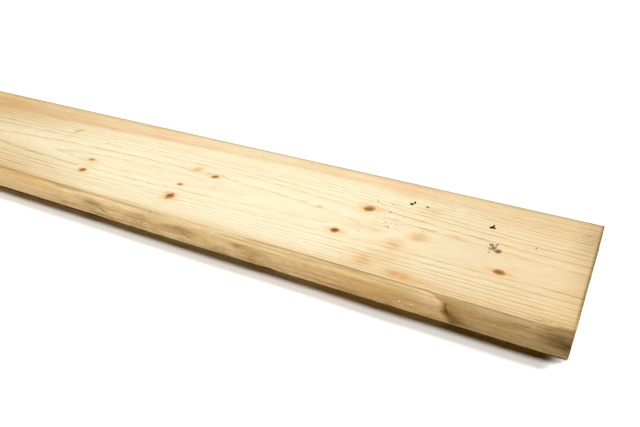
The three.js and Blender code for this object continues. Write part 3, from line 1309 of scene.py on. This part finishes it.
class Wiring:
    """Lays out one node tree, a call for each node."""

    def __init__(self, tree: bpy.types.NodeTree) -> None:
        """Start with an empty tree."""
        tree.nodes.clear()
        self.tree = tree

    def node(self, kind: str, feeds: dict[str | int, Feed], **settings: object) -> bpy.types.Node:
        """Add a node.

        Args:
            kind: Its Blender type, without the prefix that all shader nodes have.
            feeds: What goes into its inputs: the output of another node, or a value.
            settings: Its other settings.

        Returns:
            The node.
        """
        made = self.tree.nodes.new("ShaderNode" + kind)
        for name, value in settings.items():
            setattr(made, name, value)
        for name, feed in feeds.items():
            self.feed(made.inputs[name], feed)
        return made

    def feed(self, socket: Socket, feed: Feed) -> None:
        """Link a node's output to an input, or set the input to a value.

        Args:
            socket: The input.
            feed: What goes into it.
        """
        if isinstance(feed, Socket):
            self.tree.links.new(feed, socket)
        else:
            socket.default_value = feed

    def math(self, operation: str, first: Feed, second: Feed = 0.0, third: Feed = 0.0) -> Socket:
        """Return one sum of up to three values."""
        return self.node("Math", {0: first, 1: second, 2: third}, operation=operation).outputs[0]

    def times(self, first: Feed, *others: Feed) -> Socket:
        """Return the product of values.

        Args:
            first: The first value.
            others: The values that it is multiplied by.

        Returns:
            Their product.
        """
        for other in others:
            first = self.math("MULTIPLY", first, other)
        return first

    def rise(self, value: Feed, low: float, high: float, bottom: float = 0.0, top: float = 1.0) -> Socket:
        """Return a value eased from `bottom` at `low` to `top` at `high`."""
        feeds = {"Value": value, "From Min": low, "From Max": high, "To Min": bottom, "To Max": top}
        return self.node("MapRange", feeds, interpolation_type="SMOOTHSTEP").outputs["Result"]

    def tint(self, share: Feed, base: Feed, over: Feed, way: str = "MIX") -> Socket:
        """Lay one colour over another.

        Args:
            share: How much of it is laid on.
            base: The colour underneath.
            over: The colour on top.
            way: How they mix, as Blender names it.

        Returns:
            The mixed colour.
        """
        base, over = ((*feed, 1.0) if isinstance(feed, tuple) else feed for feed in (base, over))
        feeds = {0: share, 6: base, 7: over}
        return self.node("Mix", feeds, data_type="RGBA", blend_type=way).outputs[2]

    def scaled(self, vector: Feed, lengths: Place) -> Socket:
        """Return places measured in lengths of their own along X, Y and Z."""
        stretch = tuple(1.0 / length for length in lengths)
        return self.node("VectorMath", {0: vector, 1: stretch}, operation="MULTIPLY").outputs[0]

    def length(self, vector: Feed) -> Socket:
        """Return how long a vector is."""
        return self.node("VectorMath", {0: vector}, operation="LENGTH").outputs["Value"]

    def noise(self, vector: Feed, lengths: Place, detail: float) -> Socket:
        """Return noise whose lumps have the given lengths along X, Y and Z."""
        feeds = {"Vector": self.scaled(vector, lengths), "Scale": 1.0, "Detail": detail}
        return self.node("TexNoise", feeds).outputs["Fac"]

    def attribute(self, name: str, output: str = "Fac") -> Socket:
        """Return what the mesh says of the wood, as a number or a vector."""
        return self.node("Attribute", {}, attribute_name=name).outputs[output]

    def place(self) -> Socket:
        """Return the place on the piece, in metres."""
        return self.node("TexCoord", {}).outputs["Object"]

    def shared(self, group: bpy.types.NodeTree, feeds: dict[str | int, Feed]) -> bpy.types.Node:
        """Add a shared effect."""
        return self.node("Group", feeds, node_tree=group)

    def surface(self, feeds: dict[str, Feed], relief: Feed | None = None, depth: float = 0.0) -> None:
        """Finish the material: a Principled BSDF and what it is fed.

        Args:
            feeds: What goes into the shader's inputs.
            relief: The height of a fine relief, if it has one.
            depth: How far that relief's 0 lies under its 1.
        """
        shader = self.node("BsdfPrincipled", feeds)
        if relief is not None:
            bump = self.node("Bump", {"Height": relief, "Distance": depth, "Strength": 1.0})
            self.feed(shader.inputs["Normal"], bump.outputs["Normal"])
        self.node("OutputMaterial", {"Surface": shader.outputs[0]})


def new_material(name: str) -> tuple[bpy.types.Material, Wiring]:
    """Start a material.

    Args:
        name: Its name.

    Returns:
        The material, and its empty node tree to lay out.
    """
    material = bpy.data.materials.new(name)
    material.use_nodes = True
    return material, Wiring(material.node_tree)


class Effect:
    """A shared effect: a node group with named sockets, built once."""

    def __init__(self, name: str, takes: dict[str, str], gives: dict[str, str]) -> None:
        """Open the group.

        Args:
            name: The effect's name.
            takes: Its inputs and the kind of each.
            gives: Its outputs and the kind of each.
        """
        self.group = bpy.data.node_groups.new(name, "ShaderNodeTree")
        self.wiring = Wiring(self.group)
        for way, sockets in (("INPUT", takes), ("OUTPUT", gives)):
            for label, kind in sockets.items():
                self.group.interface.new_socket(label, in_out=way, socket_type="NodeSocket" + kind)
        self.takes = self.group.nodes.new("NodeGroupInput").outputs
        self.gives = self.group.nodes.new("NodeGroupOutput").inputs

    def close(self, **results: Socket) -> bpy.types.NodeTree:
        """Join the results to the outputs of the same names and return the group.

        Args:
            results: What each output is fed, under the output's name.

        Returns:
            The group.
        """
        for label, result in results.items():
            self.group.links.new(result, self.gives[label])
        return self.group


@dataclass
class WoodEffects:
    """The effects that the wood's finishes share."""

    # Both colours also lay painted shade: where the light falls off towards the ends, and in the hollow
    # beyond the tongue's nose.
    weather_and_painted_light: Colour = (0.775, 0.655, 0.505)
    dirt_and_shade: Colour = (0.34, 0.375, 0.40)
    rings: bpy.types.NodeTree = field(init=False)
    fibre: bpy.types.NodeTree = field(init=False)
    handling: bpy.types.NodeTree = field(init=False)

    def __post_init__(self) -> None:
        """Build each effect once."""
        self.rings = self.growth_rings()
        self.fibre = self.wood_fibre()
        self.handling = self.handled_wood()

    def ringed(self, w: Wiring, place: Feed, waver: float) -> bpy.types.Node:
        """Add the rings to a finish.

        Args:
            w: The material's wiring.
            place: The place on the plank.
            waver: How much the rings waver, in rings.

        Returns:
            The rings' node.
        """
        count, width = w.attribute("ring"), w.attribute("ring_width")
        return w.shared(self.rings, {"Count": count, "Width": width, "Waver": waver, "Place": place})

    def handled(self, w: Wiring, place: Feed, colour: Feed, weather_and_painted_light: Feed) -> Socket:
        """Lay weathering, dirty patches, and the painted light and shade that go with them, over a
        finish.

        Args:
            w: The material's wiring.
            place: The place on the plank.
            colour: The finish's colour.
            weather_and_painted_light: How weathered it is, with the painted light and shade that go with
                the weathering.

        Returns:
            The colour with both.
        """
        feeds = {"Colour": colour, "Weather_and_painted_light": weather_and_painted_light, "Dirt_and_shade": w.attribute("dirt_and_shade"), "Place": place}
        return w.shared(self.handling, feeds).outputs["Colour"]

    def growth_rings(self) -> bpy.types.NodeTree:
        """Draw a ring's pale early wood, its dark late wood, and how strongly each ring shows.

        Returns:
            The effect's group.
        """
        takes = {"Count": "Float", "Width": "Float", "Waver": "Float", "Place": "Vector"}
        effect = Effect("growth_rings", takes, {"Late": "Float", "Shade": "Float"})
        w = effect.wiring
        jitter = w.noise(effect.takes["Place"], (18 * MM, 1.6 * MM, 1.6 * MM), 3.0)
        waver = w.times(w.rise(jitter, 0.2, 0.8, -1.0, 1.0), effect.takes["Waver"])
        count = w.math("ADD", effect.takes["Count"], waver)
        share = w.math("FRACT", count)
        left = w.times(w.math("SUBTRACT", 1.0, share), effect.takes["Width"])
        chance = w.node("TexWhiteNoise", {"W": w.math("FLOOR", count)}, noise_dimensions="1D")
        strength = w.rise(chance.outputs["Value"], 0.0, 1.0, 0.4, 1.0)
        late = w.times(w.rise(left, 0.28, 1.15, 1.0, 0.0), w.rise(left, 0.0, 0.16), strength)
        return effect.close(Late=late, Shade=w.rise(share, 0.0, 1.0))

    def wood_fibre(self) -> bpy.types.NodeTree:
        """Draw the fibres: fine streaks along the grain, and the broader tone that they lie in.

        Returns:
            The effect's group.
        """
        gives = {"Fine": "Float", "Streak": "Float", "Cloud": "Float"}
        effect = Effect("wood_fibre", {"Place": "Vector"}, gives)
        w = effect.wiring
        fine = w.noise(effect.takes["Place"], (12 * MM, 0.45 * MM, 0.45 * MM), 3.0)
        streak = w.noise(effect.takes["Place"], (60 * MM, 2.2 * MM, 2.2 * MM), 3.0)
        cloud = w.noise(effect.takes["Place"], (50 * MM, 14 * MM, 14 * MM), 2.0)
        return effect.close(Fine=fine, Streak=streak, Cloud=cloud)

    def handled_wood(self) -> bpy.types.NodeTree:
        """Lay weathering, dirty patches, and the painted light and shade that go with them, over the
        wood's colour.

        Returns:
            The effect's group.
        """
        takes = {"Colour": "Color", "Weather_and_painted_light": "Float", "Dirt_and_shade": "Float", "Place": "Vector"}
        effect = Effect("handled_wood", takes, {"Colour": "Color"})
        w = effect.wiring
        dull = w.tint(effect.takes["Weather_and_painted_light"], effect.takes["Colour"], self.weather_and_painted_light, "MULTIPLY")
        grain = w.noise(effect.takes["Place"], (4 * MM, 1.2 * MM, 1.2 * MM), 4.0)
        # Darkens dirty patches, and paints shade in the hollow beyond the tongue's nose.
        grime_and_shade = w.times(effect.takes["Dirt_and_shade"], w.rise(grain, 0.3, 0.7, 0.7, 1.0))
        return effect.close(Colour=w.tint(grime_and_shade, dull, self.dirt_and_shade, "MULTIPLY"))


@dataclass(frozen=True)
class SideWood:
    """The finish of the sawn faces, the square edge and the waney edge."""

    early: Colour = (0.785, 0.735, 0.59)
    late: Colour = (0.56, 0.44, 0.25)
    grown: Colour = (0.685, 0.562, 0.39)
    grown_top_painted_light: Colour = (0.765, 0.66, 0.47)
    grown_foot_pale_and_lit: Colour = (0.85, 0.74, 0.56)
    grown_streak: Colour = (0.42, 0.335, 0.215)
    sawn_shade: Colour = (0.71, 0.705, 0.67)
    heart: Colour = (0.68, 0.475, 0.29)
    resin: Colour = (0.66, 0.455, 0.235)
    halo: Colour = (0.70, 0.49, 0.27)
    knot: Colour = (0.46, 0.275, 0.125)
    knot_core: Colour = (0.19, 0.095, 0.04)
    knot_pale: Colour = (0.78, 0.61, 0.36)
    speck: Colour = (0.040, 0.024, 0.008)
    fleck: Colour = (0.20, 0.135, 0.06)
    pale_fleck: Colour = (0.92, 0.86, 0.74)
    fibre_shade: Colour = (0.82, 0.74, 0.60)
    rim_shade: Colour = (0.42, 0.41, 0.30)
    crease_shadow_colour: Colour = (0.42, 0.34, 0.24)
    waver: float = 0.10
    relief: float = 0.12 * MM
    shine: float = 0.3

    def make(self, effects: WoodEffects, size: Vector) -> bpy.types.Material:
        """Make the material.

        Args:
            effects: The effects that it shares with the other finishes.
            size: The plank's length, width and thickness.

        Returns:
            The material.
        """
        material, w = new_material("side_wood")
        place = w.place()
        rings = effects.ringed(w, place, self.waver)
        fibre = w.shared(effects.fibre, {"Place": place})
        fine, streak, cloud = (fibre.outputs[name] for name in ("Fine", "Streak", "Cloud"))

        line = w.times(rings.outputs["Late"], w.attribute("line"))
        line = w.times(line, w.rise(streak, 0.3, 0.65, 0.45, 1.15))
        colour = w.tint(w.times(line, 0.9), self.early, self.late)
        colour = w.tint(w.times(rings.outputs["Shade"], 0.10), colour, self.late)
        colour = w.tint(w.rise(cloud, 0.3, 0.7, 0.0, 0.08), colour, self.late)
        band = w.times(w.attribute("heart"), w.rise(streak, 0.3, 0.7, 0.5, 1.0))
        colour = w.tint(band, colour, self.heart)
        colour = w.tint(w.attribute("waney_edge"), colour, self.grown_wood(w, place, fibre))
        colour = self.stained(w, place, colour)
        colour = w.tint(w.rise(fine, 0.35, 0.75, 0.0, 0.42), colour, self.fibre_shade, "MULTIPLY")
        colour = w.tint(w.attribute("rim"), colour, self.rim_shade, "MULTIPLY")
        # Painted shade in the creases round the tongue's nose and along the top arris.
        colour = w.tint(w.times(w.attribute("crease"), 0.75), colour, self.crease_shadow_colour, "MULTIPLY")
        colour = effects.handled(w, place, colour, w.attribute("weather_and_painted_light"))
        colour, knot_body = self.knotted(w, place, colour)
        colour, speck = self.specked(w, place, colour, size)

        relief = w.times(fine, w.rise(w.attribute("waney_edge"), 0.0, 1.0, 0.35, 0.10))
        relief = w.math("ADD", relief, w.times(streak, 0.35))
        relief = w.math("ADD", relief, w.times(line, 0.5))
        relief = w.math("SUBTRACT", relief, w.times(speck, 1.5))
        rough = w.math("ADD", w.rise(fine, 0.3, 0.7, 0.58, 0.74), w.times(knot_body, -0.12))
        feeds = {"Base Color": colour, "Roughness": rough, "Specular IOR Level": self.shine}
        w.surface(feeds, relief, self.relief)
        return material

    def grown_wood(self, w: Wiring, place: Feed, fibre: bpy.types.Node) -> Socket:
        """Draw the log's own flank: brown, streaked and mottled, paler at its top as painted light, and
        paler at its foot, partly pale fibres and partly painted light.

        Args:
            w: The material's wiring.
            place: The place on the plank.
            fibre: The wood's fibres.

        Returns:
            The flank's colour.
        """
        up = w.node("SeparateXYZ", {0: place}).outputs[2]
        # Painted light: the upper flank is paler as if lit from above; the paler foot is partly pale torn
        # fibres, partly painted light.
        grown = w.tint(w.rise(up, 12 * MM, 21 * MM), self.grown, self.grown_top_painted_light)
        grown = w.tint(w.rise(up, 1.5 * MM, 8 * MM, 0.45, 0.0), grown, self.grown_foot_pale_and_lit)
        streaks = w.rise(fibre.outputs["Streak"], 0.38, 0.72, 0.0, 0.6)
        where = w.rise(w.attribute("mottle"), 0.4, 0.7, 0.45, 1.0)
        streaks = w.times(streaks, where, w.rise(w.attribute("sawn"), 0.0, 1.0, 1.0, 0.55))
        grown = w.tint(streaks, grown, self.grown_streak)
        mottle = w.rise(w.noise(place, (8 * MM, 3.5 * MM, 3 * MM), 4.0), 0.45, 0.75, 0.0, 0.42)
        mottle = w.times(mottle, w.rise(up, 13 * MM, 18 * MM, 1.0, 0.35))
        grown = w.tint(w.times(mottle, w.attribute("mottle")), grown, self.grown_streak)
        furry = w.rise(w.noise(place, (2.4 * MM, 1.2 * MM, 2 * MM), 4.0), 0.4, 0.7, 0.0, 0.16)
        grown = w.tint(w.times(furry, w.attribute("mottle")), grown, self.grown_streak)
        return w.tint(w.attribute("sawn"), grown, self.sawn_shade, "MULTIPLY")

    def stained(self, w: Wiring, place: Feed, colour: Feed) -> Socket:
        """Lay the resin's orange stains over the wood."""
        patchy = w.rise(w.noise(place, (12 * MM, 2.2 * MM, 3 * MM), 4.0), 0.3, 0.65, 0.4, 1.0)
        return w.tint(w.times(w.attribute("stain"), patchy), colour, self.resin)

    def knotted(self, w: Wiring, place: Feed, colour: Feed) -> tuple[Socket, Socket]:
        """Draw the knots: a stained halo, two tails, the branch's own rings, and a drying crack.

        Args:
            w: The material's wiring.
            place: The place on the plank.
            colour: The wood's colour without them.

        Returns:
            The colour with the knots, and where they are.
        """
        wobble = w.rise(w.noise(place, (3 * MM, 2 * MM, 2 * MM), 2.0), 0.3, 0.7, -0.08, 0.08)
        off = w.math("ADD", w.attribute("knot"), wobble)
        tone = w.attribute("knot_tone")
        local = w.attribute("knot_place", "Vector")
        drawn = w.math("ADD", w.length(w.scaled(local, (1.7, 1.0, 1.0))), wobble)
        halo = w.times(w.rise(drawn, 0.6, 2.0, 0.42, 0.0), w.math("POWER", tone, 0.6))
        colour = w.tint(halo, colour, self.halo)
        spot = w.node("SeparateXYZ", {0: local}).outputs
        ahead, aside = (w.math("ABSOLUTE", spot[axis]) for axis in (0, 1))
        tail = w.times(w.rise(ahead, 0.6, 2.9, 1.0, 0.0), w.rise(aside, 0.1, 0.6, 1.0, 0.0), tone)
        colour = w.tint(w.times(tail, 0.3), colour, self.knot)
        body = w.rise(off, 0.66, 1.16, 1.0, 0.0)
        turns = w.math("SINE", w.times(off, 19.0))
        wood = w.tint(w.rise(turns, -1.0, 1.0, 0.0, 0.35), self.knot, self.knot_core)
        wood = w.tint(w.rise(off, 0.1, 0.75, 0.75, 0.0), wood, self.knot_core)
        wood = w.tint(w.math("SUBTRACT", 1.0, tone), wood, self.knot_pale)
        colour = w.tint(body, colour, wood)
        sway = w.math("ABSOLUTE", w.math("MULTIPLY_ADD", spot[0], 0.25, spot[1]))
        sway = w.math("MULTIPLY_ADD", wobble, 0.4, sway)
        crack = w.times(w.rise(sway, 0.03, 0.13, 1.0, 0.0), w.rise(off, 0.5, 0.8, 1.0, 0.0), tone)
        return w.tint(w.times(crack, 0.6), colour, self.speck), body

    def specked(self, w: Wiring, place: Feed, colour: Feed, size: Vector) -> tuple[Socket, Socket]:
        """Draw the crisp marks with their ragged outlines, and the dots that pepper the face.

        Args:
            w: The material's wiring.
            place: The place on the plank.
            colour: The wood's colour without them.
            size: The plank's length, width and thickness.

        Returns:
            The colour with the marks, and how deep the dark ones go.
        """
        ragged = w.noise(place, (2.2 * MM, 1.1 * MM, 1.1 * MM), 3.0)
        ragged = w.rise(ragged, 0.25, 0.75, -0.32, 0.32)
        pale, fleck, speck = (
            w.rise(w.math("ADD", self.highest(w, place, kind, size), ragged), low, high)
            for kind, low, high in (
                (MarkKind.PALE_FLECK, 0.2, 0.5),
                (MarkKind.BROWN_FLECK, 0.16, 0.6),
                (MarkKind.BLACK_SPECK, 0.12, 0.34),
            )
        )
        colour = w.tint(w.times(pale, 0.8), colour, self.pale_fleck)
        colour = w.tint(w.times(fleck, 0.8), colour, self.fleck)
        lie = {"Vector": w.scaled(place, (4.2 * MM, 3.6 * MM, 3.6 * MM)), "Scale": 1.0}
        cells = w.node("TexVoronoi", lie, voronoi_dimensions="2D").outputs
        chance, weight = w.node("SeparateColor", {0: cells["Color"]}).outputs[:2]
        chosen = w.rise(w.math("ADD", chance, w.attribute("pepper")), 1.25, 1.45)
        dot = w.times(w.rise(cells["Distance"], 0.08, 0.16, 1.0, 0.0), chosen)
        dot = w.times(dot, w.rise(weight, 0.0, 1.0, 0.2, 0.85))
        colour = w.tint(dot, colour, self.fleck)
        return w.tint(w.times(speck, 0.94), colour, self.speck), w.math("ADD", speck, dot)

    def highest(self, w: Wiring, place: Feed, kind: MarkKind, size: Vector) -> Feed:
        """Find the highest of the marks of one kind, each a cone that is 0 at the mark's outline.

        Args:
            w: The material's wiring.
            place: The place on the plank.
            kind: The kind of mark.
            size: The plank's length, width and thickness.

        Returns:
            The height of the highest at that place, and -1 far from them all.
        """
        on_top = [(mark, mark.on_top(size)) for mark in TOP_MARKS.get(kind, ())]
        on_edge = [(mark, mark.on_edge(size)) for mark in EDGE_MARKS.get(kind, ())]
        top: Feed = -1.0
        for mark, lie in on_top + on_edge:
            turned = w.node("Mapping", {"Vector": place, **lie}, vector_type="TEXTURE").outputs[0]
            cone = w.math("MULTIPLY_ADD", w.length(turned), -mark.strength, mark.strength)
            top = w.math("MAXIMUM", top, cone)
        return top


@dataclass(frozen=True)
class EndGrain:
    """The finish of the crosscut ends: the rings seen end-on, darker and furrier than the sides."""

    early: Colour = (0.66, 0.53, 0.32)
    late: Colour = (0.36, 0.235, 0.105)
    pore_shade: Colour = (0.62, 0.54, 0.42)
    waver: float = 0.025
    weather_and_painted_light: float = 0.5
    relief: float = 0.3 * MM
    shine: float = 0.2

    def make(self, effects: WoodEffects) -> bpy.types.Material:
        """Make the material.

        Args:
            effects: The effects that it shares with the other finishes.

        Returns:
            The material.
        """
        material, w = new_material("end_grain")
        place = w.place()
        rings = effects.ringed(w, place, self.waver)
        pores = w.noise(place, (0.6 * MM, 0.6 * MM, 0.6 * MM), 4.0)
        saw_marks = w.noise(place, (10 * MM, 1.6 * MM, 30 * MM), 3.0)
        colour = w.tint(w.times(rings.outputs["Late"], 0.85), self.early, self.late)
        colour = w.tint(w.times(rings.outputs["Shade"], 0.3), colour, self.late)
        colour = w.tint(w.rise(saw_marks, 0.4, 0.7, 0.0, 0.35), colour, self.late)
        colour = w.tint(w.rise(pores, 0.4, 0.7, 0.0, 0.4), colour, self.pore_shade, "MULTIPLY")
        colour = effects.handled(w, place, colour, self.weather_and_painted_light)
        relief = w.math("ADD", w.times(pores, 0.6), w.times(saw_marks, 0.6))
        rough = w.rise(pores, 0.3, 0.7, 0.82, 0.95)
        feeds = {"Base Color": colour, "Roughness": rough, "Specular IOR Level": self.shine}
        w.surface(feeds, relief, self.relief)
        return material


@dataclass(frozen=True)
class TornWood:
    """The finish of the hanging fibres."""

    pale: Colour = (0.93, 0.85, 0.60)
    dark: Colour = (0.74, 0.62, 0.38)
    relief: float = 0.1 * MM
    shine: float = 0.3
    glow: float = 0.7
    glow_radius: Colour = (1.0, 0.8, 0.5)
    glow_depth: float = 1 * MM

    def make(self, effects: WoodEffects) -> bpy.types.Material:
        """Make the material.

        Args:
            effects: The effects that it shares with the other finishes.

        Returns:
            The material.
        """
        material, w = new_material("torn_wood")
        fibre = w.shared(effects.fibre, {"Place": w.place()})
        fine, cloud = fibre.outputs["Fine"], fibre.outputs["Cloud"]
        feeds = {
            "Base Color": w.tint(w.rise(cloud, 0.3, 0.7), self.pale, self.dark),
            "Roughness": w.rise(fine, 0.3, 0.7, 0.7, 0.85),
            "Specular IOR Level": self.shine,
            "Subsurface Weight": self.glow,
            "Subsurface Radius": self.glow_radius,
            "Subsurface Scale": self.glow_depth,
        }
        w.surface(feeds, fine, self.relief)
        return material


@dataclass(frozen=True)
class PaleFloor:
    """The finish of the floor: matt white with a trace of cloudiness."""

    white: Colour = (0.93, 0.93, 0.93)
    grey: Colour = (0.90, 0.90, 0.90)
    cloud: float = 600 * MM
    shine: float = 0.1

    def make(self) -> bpy.types.Material:
        """Make the material.

        Returns:
            The material.
        """
        material, w = new_material("pale_floor")
        cloud = w.noise(w.place(), (self.cloud,) * 3, 2.0)
        colour = w.tint(w.rise(cloud, 0.3, 0.7), self.white, self.grey)
        rough = w.rise(cloud, 0.3, 0.7, 0.85, 0.95)
        w.surface({"Base Color": colour, "Roughness": rough, "Specular IOR Level": self.shine})
        return material


def direction(azimuth: float, elevation: float) -> Vector:
    """Point somewhere.

    Args:
        azimuth: Degrees round from +Y towards +X.
        elevation: Degrees up from level.

    Returns:
        The unit direction.
    """
    azimuth, elevation = math.radians(azimuth), math.radians(elevation)
    level = math.cos(elevation)
    return Vector((math.sin(azimuth) * level, math.cos(azimuth) * level, math.sin(elevation)))


@dataclass(frozen=True)
class Lamp:
    """A far, broad light: how much it adds to a level floor, and where from."""

    name: str
    on_floor: float
    azimuth: float
    elevation: float
    spread: float
    colour: Colour = (1.0, 0.985, 0.96)

    def hang(self) -> None:
        """Hang the lamp."""
        light = bpy.data.lights.new(self.name, "SUN")
        light.energy = self.on_floor * math.pi / math.sin(math.radians(self.elevation))
        light.angle = math.radians(self.spread)
        light.color = self.colour
        towards = direction(self.azimuth, self.elevation)
        in_scene(self.name, light).rotation_euler = towards.to_track_quat("Z", "Y").to_euler()


@dataclass(frozen=True)
class CornerLamp:
    """A narrow lamp beyond the plank's end that keeps the shadow off the floor by the near corner."""

    power: float = 31.0
    away: float = 700 * MM
    azimuth: float = 90.0
    elevation: float = 45.0
    beam: float = 8.0
    edge: float = 0.14
    bulb: float = 6 * MM
    aim: Place = (65 * MM, -12 * MM, 0.0)
    colour: Colour = (1.0, 0.985, 0.96)

    def hang(self, corner: Vector) -> None:
        """Hang the lamp, aimed beside the corner.

        Args:
            corner: The plank's near corner at its +X end.
        """
        light = bpy.data.lights.new("corner_light", "SPOT")
        light.energy = self.power
        light.color = self.colour
        light.spot_size = math.radians(self.beam)
        light.spot_blend = self.edge
        light.shadow_soft_size = self.bulb
        towards = direction(self.azimuth, self.elevation)
        hung = in_scene("corner_light", light)
        hung.location = corner + Vector(self.aim) + towards * self.away
        hung.rotation_euler = towards.to_track_quat("Z", "Y").to_euler()


@dataclass
class Studio:
    """The floor, the room, the lights and the camera."""

    corner: Vector
    floor_size: float = 9.0
    sky: float = 0.012
    wall: float = 1.5
    black_level: Colour = (0.081, 0.080, 0.067)
    lamps: tuple[Lamp, ...] = (
        Lamp("overhead_left", 0.17, 2.0, 65.9, 15.0),
        Lamp("overhead_middle", 0.17, 18.0, 64.9, 15.0),
        Lamp("overhead_right", 0.17, 38.0, 60.5, 15.0),
        Lamp("back_left", 0.15, -2.0, 47.8, 11.0),
        Lamp("back_middle", 0.15, 14.0, 47.0, 11.0),
        Lamp("back_right", 0.15, 32.0, 43.2, 11.0),
        Lamp("front_card", 0.0157, 190.0, 1.5, 4.0, (1.0, 0.95, 0.86)),
    )
    lens: float = 36.84
    film: float = 36.0
    nearest: float = 10 * MM
    camera_at: Place = (0.90504, -0.43227, 0.29239)
    yaw: float = 27.52
    pitch: float = 29.79

    def build(self) -> None:
        """Set the studio up."""
        self.floor()
        self.room()
        for lamp in self.lamps:
            lamp.hang()
        CornerLamp().hang(self.corner)
        self.camera()

    def floor(self) -> None:
        """Lay the floor that the plank lies on."""
        shape = bmesh.new()
        bmesh.ops.create_grid(shape, x_segments=2, y_segments=2, size=self.floor_size / 2)
        mesh = settled("studio_floor", shape)
        mesh.materials.append(PaleFloor().make())
        floor = in_scene("studio_floor", mesh)

    def room(self) -> None:
        """Fill the room with a little light from all round, and show its walls as pale as the floor."""
        world = bpy.data.worlds.new("studio_room")
        world.use_nodes = True
        nodes, links = world.node_tree.nodes, world.node_tree.links
        fill = nodes["Background"]
        wall = nodes.new("ShaderNodeBackground")
        choice = nodes.new("ShaderNodeMixShader")
        for light, strength in ((fill, self.sky), (wall, self.wall)):
            light.inputs["Color"].default_value = (1.0, 1.0, 1.0, 1.0)
            light.inputs["Strength"].default_value = strength
        links.new(nodes.new("ShaderNodeLightPath").outputs["Is Camera Ray"], choice.inputs[0])
        links.new(fill.outputs[0], choice.inputs[1])
        links.new(wall.outputs[0], choice.inputs[2])
        links.new(choice.outputs[0], nodes["World Output"].inputs["Surface"])
        bpy.context.scene.world = world
        tone = bpy.context.scene.view_settings
        tone.view_transform = "Standard"
        tone.look = "High Contrast"
        tone.use_curve_mapping = True
        tone.curve_mapping.black_level = self.black_level
        tone.curve_mapping.update()

    def camera(self) -> None:
        """Place the camera, turned by its yaw to the left of +Y and by its pitch down from level."""
        view = bpy.data.cameras.new("camera")
        view.sensor_fit = "HORIZONTAL"
        view.sensor_width = self.film
        view.lens = self.lens
        view.clip_start = self.nearest
        camera = in_scene("camera", view)
        camera.location = self.camera_at
        ahead = direction(-self.yaw, -self.pitch)
        camera.rotation_euler = ahead.to_track_quat("-Z", "Y").to_euler()
        bpy.context.scene.camera = camera


def main() -> None:
    """Build the plank, its fibres and the studio, in that order."""
    low, high = (Vector(corner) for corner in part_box(NODE))
    Studio(Vector((high.x, low.y, low.z))).build()
    effects = WoodEffects()
    size = high - low
    plank = Plank(size.x, size.y, size.z)
    board = plank.build([SideWood().make(effects, size), EndGrain().make(effects)])
    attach(board, BODY)
    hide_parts(NODE)
    log.info("sawn plank: %d faces", len(board.data.polygons))
    fibres = TornFibres().build(TornWood().make(effects), plank)
    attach(fibres, BODY)
    log.info("torn fibres: %d faces", len(fibres.data.polygons))


if __name__ == "__main__":
    logging.basicConfig(level=logging.INFO, format="%(name)s: %(message)s")
    main()
